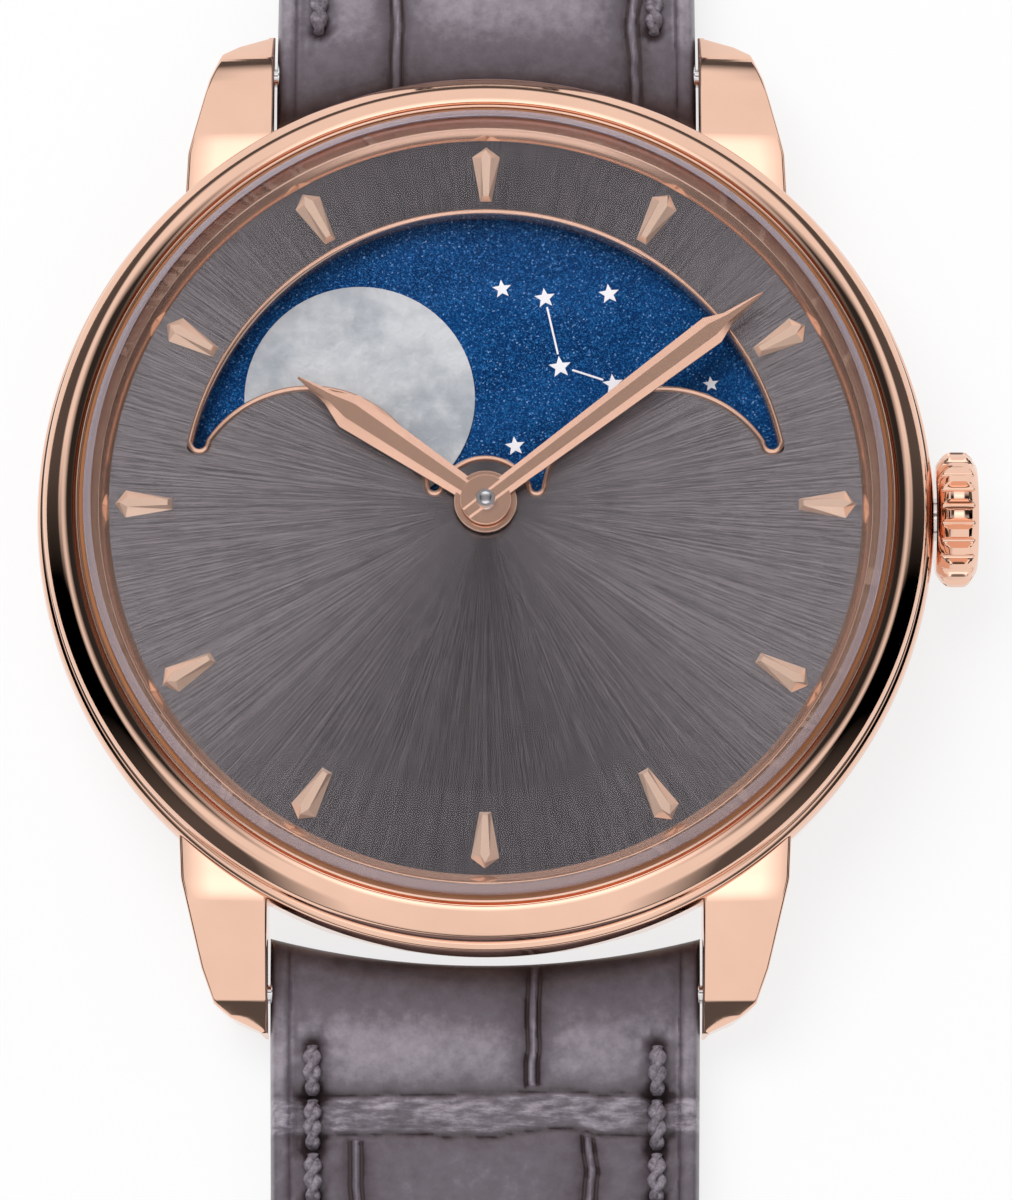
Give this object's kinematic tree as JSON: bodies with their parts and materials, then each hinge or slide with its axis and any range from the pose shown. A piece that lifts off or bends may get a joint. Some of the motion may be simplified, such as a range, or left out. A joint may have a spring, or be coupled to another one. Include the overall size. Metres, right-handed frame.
{
  "type": "moon phase wristwatch",
  "caption": "Round moon phase watch with hands, faceted hour markers, a crescent window over a starry disc, a fluted crown, a geared movement and a padded leather strap.",
  "frame": {"origin": "on the axis of the hands, at the flat face of the case back", "axes": "+Z out of the dial along the hands' axis, +Y to 12 o'clock along the strap, +X to the crown"},
  "size_m": [0.0442, 0.2511, 0.0103],
  "materials": {
    "rose_gold": "polished rose gold",
    "crystal": "clear sapphire",
    "gasket": "amber, translucent",
    "dial": "anthracite, sunray brushed",
    "sky": "dark blue glass with copper glints",
    "pearl": "white mother-of-pearl",
    "polished_steel": "polished",
    "steel": "fine brushed",
    "rhodium": "striped bridges, rhodium grey",
    "blued_steel": "heat-blued steel",
    "ruby": "polished ruby",
    "brass": "gilt",
    "leather": "padded, large scales, matt"
  },
  "bodies": {
    "case": {"case_middle": "rose_gold", "bezel": "rose_gold", "crystal": "crystal", "crystal_gasket": "gasket", "rehaut_ring": "rose_gold", "case_back": "rose_gold", "case_back_crystal": "crystal", "case_back_gasket": "gasket", "crown_tube": "steel", "casing_ring": "steel", "spring_bars": "polished_steel", "dial": "dial", "aperture_frame": "rose_gold", "hour_markers": "rose_gold", "main_plate": "rhodium", "barrel_bridge": "rhodium", "train_bridge": "rhodium", "balance_cock": "rhodium", "pallet_bridge": "steel", "bridge_screws": "blued_steel", "jewels": "ruby", "click_spring": "steel"},
    "minute": {"minute_hand": "rose_gold", "cannon_pinion": "polished_steel", "centre_wheel": "brass"},
    "hour": {"hour_hand": "rose_gold", "hour_wheel": "polished_steel"},
    "minute_work": {"minute_wheel": "brass"},
    "day": {"day_wheel": "brass"},
    "step": {"step_wheel": "steel"},
    "moon": {"moon_disc": "sky", "moons": "pearl"},
    "barrel": {"barrel": "brass"},
    "third": {"third_wheel": "brass"},
    "fourth": {"fourth_wheel": "brass"},
    "escape": {"escape_wheel": "brass"},
    "fork": {"pallet_fork": "polished_steel"},
    "balance": {"balance_wheel": "brass", "hairspring": "blued_steel"},
    "lever": {"setting_lever": "steel"},
    "crown": {"crown": "rose_gold", "winding_stem": "steel", "winding_pinion": "steel"},
    "crown_wheel": {"crown_wheel": "steel"},
    "ratchet": {"ratchet_wheel": "steel", "barrel_arbor": "steel"},
    "click": {"click": "steel"},
    "strap_twelve": {"strap_short": "leather", "fixed_keeper": "leather", "buckle_bar": "rose_gold"},
    "strap_six": {"strap_long": "leather"},
    "keeper": {"loose_keeper": "leather"},
    "buckle": {"buckle_frame": "rose_gold"},
    "tongue": {"buckle_tongue": "rose_gold"}
  },
  "joints": [
    {"name": "minute_turn", "type": "hinge", "parent": "case", "child": "minute", "pos_m": [0, 0, 0.0083], "axis": [0, 0, 1], "continuous": true},
    {"name": "hour_turn", "type": "hinge", "parent": "case", "child": "hour", "pos_m": [0, 0, 0.0079], "axis": [0, 0, 1], "continuous": true},
    {"name": "minute_work_turn", "type": "hinge", "parent": "case", "child": "minute_work", "pos_m": [0.00161, -0.0028, 0.0052], "axis": [0, 0, 1], "continuous": true},
    {"name": "day_turn", "type": "hinge", "parent": "case", "child": "day", "pos_m": [-0.00051, -0.00818, 0.0054], "axis": [0, 0, 1], "continuous": true},
    {"name": "step_turn", "type": "hinge", "parent": "case", "child": "step", "pos_m": [-0.00618, -0.00758, 0.0057], "axis": [0, 0, 1], "continuous": true},
    {"name": "moon_turn", "type": "hinge", "parent": "case", "child": "moon", "pos_m": [0, 0, 0.0062], "axis": [0, 0, 1], "continuous": true},
    {"name": "barrel_turn", "type": "hinge", "parent": "case", "child": "barrel", "pos_m": [0.00287, 0.00642, 0.0032], "axis": [0, 0, 1], "continuous": true},
    {"name": "third_turn", "type": "hinge", "parent": "case", "child": "third", "pos_m": [-0.00445, -0.00311, 0.0028], "axis": [0, 0, 1], "continuous": true},
    {"name": "fourth_turn", "type": "hinge", "parent": "case", "child": "fourth", "pos_m": [-0.00149, -0.00666, 0.0032], "axis": [0, 0, 1], "continuous": true},
    {"name": "escape_turn", "type": "hinge", "parent": "case", "child": "escape", "pos_m": [0.00309, -0.00747, 0.0034], "axis": [0, 0, 1], "continuous": true},
    {"name": "balance_swing", "type": "hinge", "parent": "case", "child": "balance", "pos_m": [0.00913, -0.00662, 0.0028], "axis": [0, 0, 1], "range_deg": [-28, 28], "stiffness_Nm_per_rad": 0.0000003},
    {"name": "fork_swing", "type": "hinge", "parent": "case", "child": "fork", "pos_m": [0.00596, -0.00707, 0.0034], "axis": [0, 0, 1], "range_deg": [-5.5, 5.5]},
    {"name": "crown_pull", "type": "slide", "parent": "case", "child": "lever", "axis": [1, 0, 0], "range_m": [0, 0.001]},
    {"name": "crown_turn", "type": "hinge", "parent": "lever", "child": "crown", "pos_m": [0.0221, 0, 0.0044], "axis": [1, 0, 0], "continuous": true},
    {"name": "crown_wheel_turn", "type": "hinge", "parent": "case", "child": "crown_wheel", "pos_m": [0.0086, 0, 0.0017], "axis": [0, 0, 1], "continuous": true},
    {"name": "ratchet_turn", "type": "hinge", "parent": "case", "child": "ratchet", "pos_m": [0.00287, 0.00642, 0.0017], "axis": [0, 0, 1], "continuous": true},
    {"name": "click_swing", "type": "hinge", "parent": "case", "child": "click", "pos_m": [-0.00336, 0.00973, 0.0017], "axis": [0, 0, 1], "range_deg": [0, 8], "stiffness_Nm_per_rad": 0.00001, "springref_deg": -5.73},
    {"name": "strap_twelve_hinge", "type": "hinge", "parent": "case", "child": "strap_twelve", "pos_m": [0, 0.0222, 0.0021], "axis": [1, 0, 0], "range_deg": [-70, 60]},
    {"name": "strap_six_hinge", "type": "hinge", "parent": "case", "child": "strap_six", "pos_m": [0, -0.0222, 0.0021], "axis": [-1, 0, 0], "range_deg": [-70, 60]},
    {"name": "keeper_slide", "type": "slide", "parent": "strap_twelve", "child": "keeper", "axis": [0, -1, 0], "range_m": [0, 0.014]},
    {"name": "buckle_hinge", "type": "hinge", "parent": "strap_twelve", "child": "buckle", "pos_m": [0, 0.0972, 0.0014], "axis": [1, 0, 0], "range_deg": [-60, 100]},
    {"name": "tongue_hinge", "type": "hinge", "parent": "buckle", "child": "tongue", "pos_m": [0, 0.0972, 0.0014], "axis": [1, 0, 0], "range_deg": [0, 100]}
  ],
  "couplings": [
    {"joint": "hour_turn", "follows": "minute_turn", "ratio": 0.083333},
    {"joint": "minute_work_turn", "follows": "minute_turn", "ratio": -0.33333},
    {"joint": "day_turn", "follows": "minute_turn", "ratio": 0.041667},
    {"joint": "step_turn", "follows": "minute_turn", "ratio": -0.0069444},
    {"joint": "moon_turn", "follows": "minute_turn", "ratio": 0.00070621},
    {"joint": "barrel_turn", "follows": "minute_turn", "ratio": -0.16667},
    {"joint": "third_turn", "follows": "minute_turn", "ratio": -8},
    {"joint": "fourth_turn", "follows": "minute_turn", "ratio": 60},
    {"joint": "escape_turn", "follows": "minute_turn", "ratio": -600},
    {"joint": "fork_swing", "follows": "balance_swing", "ratio": -0.17647},
    {"joint": "crown_wheel_turn", "follows": "crown_turn", "ratio": 0.5},
    {"joint": "ratchet_turn", "follows": "crown_turn", "ratio": -0.33333}
  ]
}
